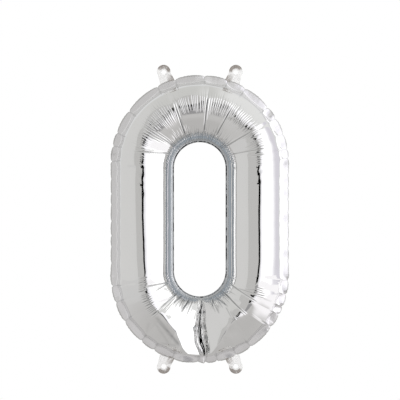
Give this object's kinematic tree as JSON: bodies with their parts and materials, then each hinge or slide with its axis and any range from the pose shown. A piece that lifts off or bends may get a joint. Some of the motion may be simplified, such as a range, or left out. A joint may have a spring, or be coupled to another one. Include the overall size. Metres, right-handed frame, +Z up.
{
  "type": "foil number balloon",
  "caption": "Inflated metallised foil balloon in the shape of the figure zero, with clear hanging tabs and a straw valve.",
  "frame": {"origin": "middle of the figure, in the middle of its hole, on the plane where the two foil panels are sealed together", "axes": "+Z up the figure, +X to its right as it is read, -Y out of its front"},
  "size_m": [0.22, 0.067, 0.3828],
  "materials": {
    "silver_foil": "polished",
    "valve_film": "gloss",
    "clear_tab_film": "gloss"
  },
  "bodies": {
    "envelope": {"front_foil_panel": "silver_foil", "back_foil_panel": "silver_foil", "valve_front_film": "valve_film", "valve_back_film": "valve_film", "hang_tab_root_top_left": "clear_tab_film", "hang_tab_root_top_right": "clear_tab_film", "hang_tab_root_bottom_left": "clear_tab_film", "hang_tab_root_bottom_right": "clear_tab_film"},
    "hang_tab_top_left": {"hang_tab_top_left": "clear_tab_film"},
    "hang_tab_top_right": {"hang_tab_top_right": "clear_tab_film"},
    "hang_tab_bottom_left": {"hang_tab_bottom_left": "clear_tab_film"},
    "hang_tab_bottom_right": {"hang_tab_bottom_right": "clear_tab_film"}
  },
  "joints": [
    {"name": "hang_tab_top_left_fold", "type": "hinge", "parent": "envelope", "child": "hang_tab_top_left", "pos_m": [-0.04039, 0, 0.17107], "axis": [0.9311, 0, 0.3649], "range_deg": [-90, 90], "stiffness_Nm_per_rad": 0.00001},
    {"name": "hang_tab_top_right_fold", "type": "hinge", "parent": "envelope", "child": "hang_tab_top_right", "pos_m": [0.04039, 0, 0.17107], "axis": [0.9311, 0, -0.3649], "range_deg": [-90, 90], "stiffness_Nm_per_rad": 0.00001},
    {"name": "hang_tab_bottom_left_fold", "type": "hinge", "parent": "envelope", "child": "hang_tab_bottom_left", "pos_m": [-0.04039, 0, -0.17107], "axis": [-0.9311, 0, 0.3649], "range_deg": [-90, 90], "stiffness_Nm_per_rad": 0.00001},
    {"name": "hang_tab_bottom_right_fold", "type": "hinge", "parent": "envelope", "child": "hang_tab_bottom_right", "pos_m": [0.04039, 0, -0.17107], "axis": [-0.9311, 0, -0.3649], "range_deg": [-90, 90], "stiffness_Nm_per_rad": 0.00001}
  ]
}
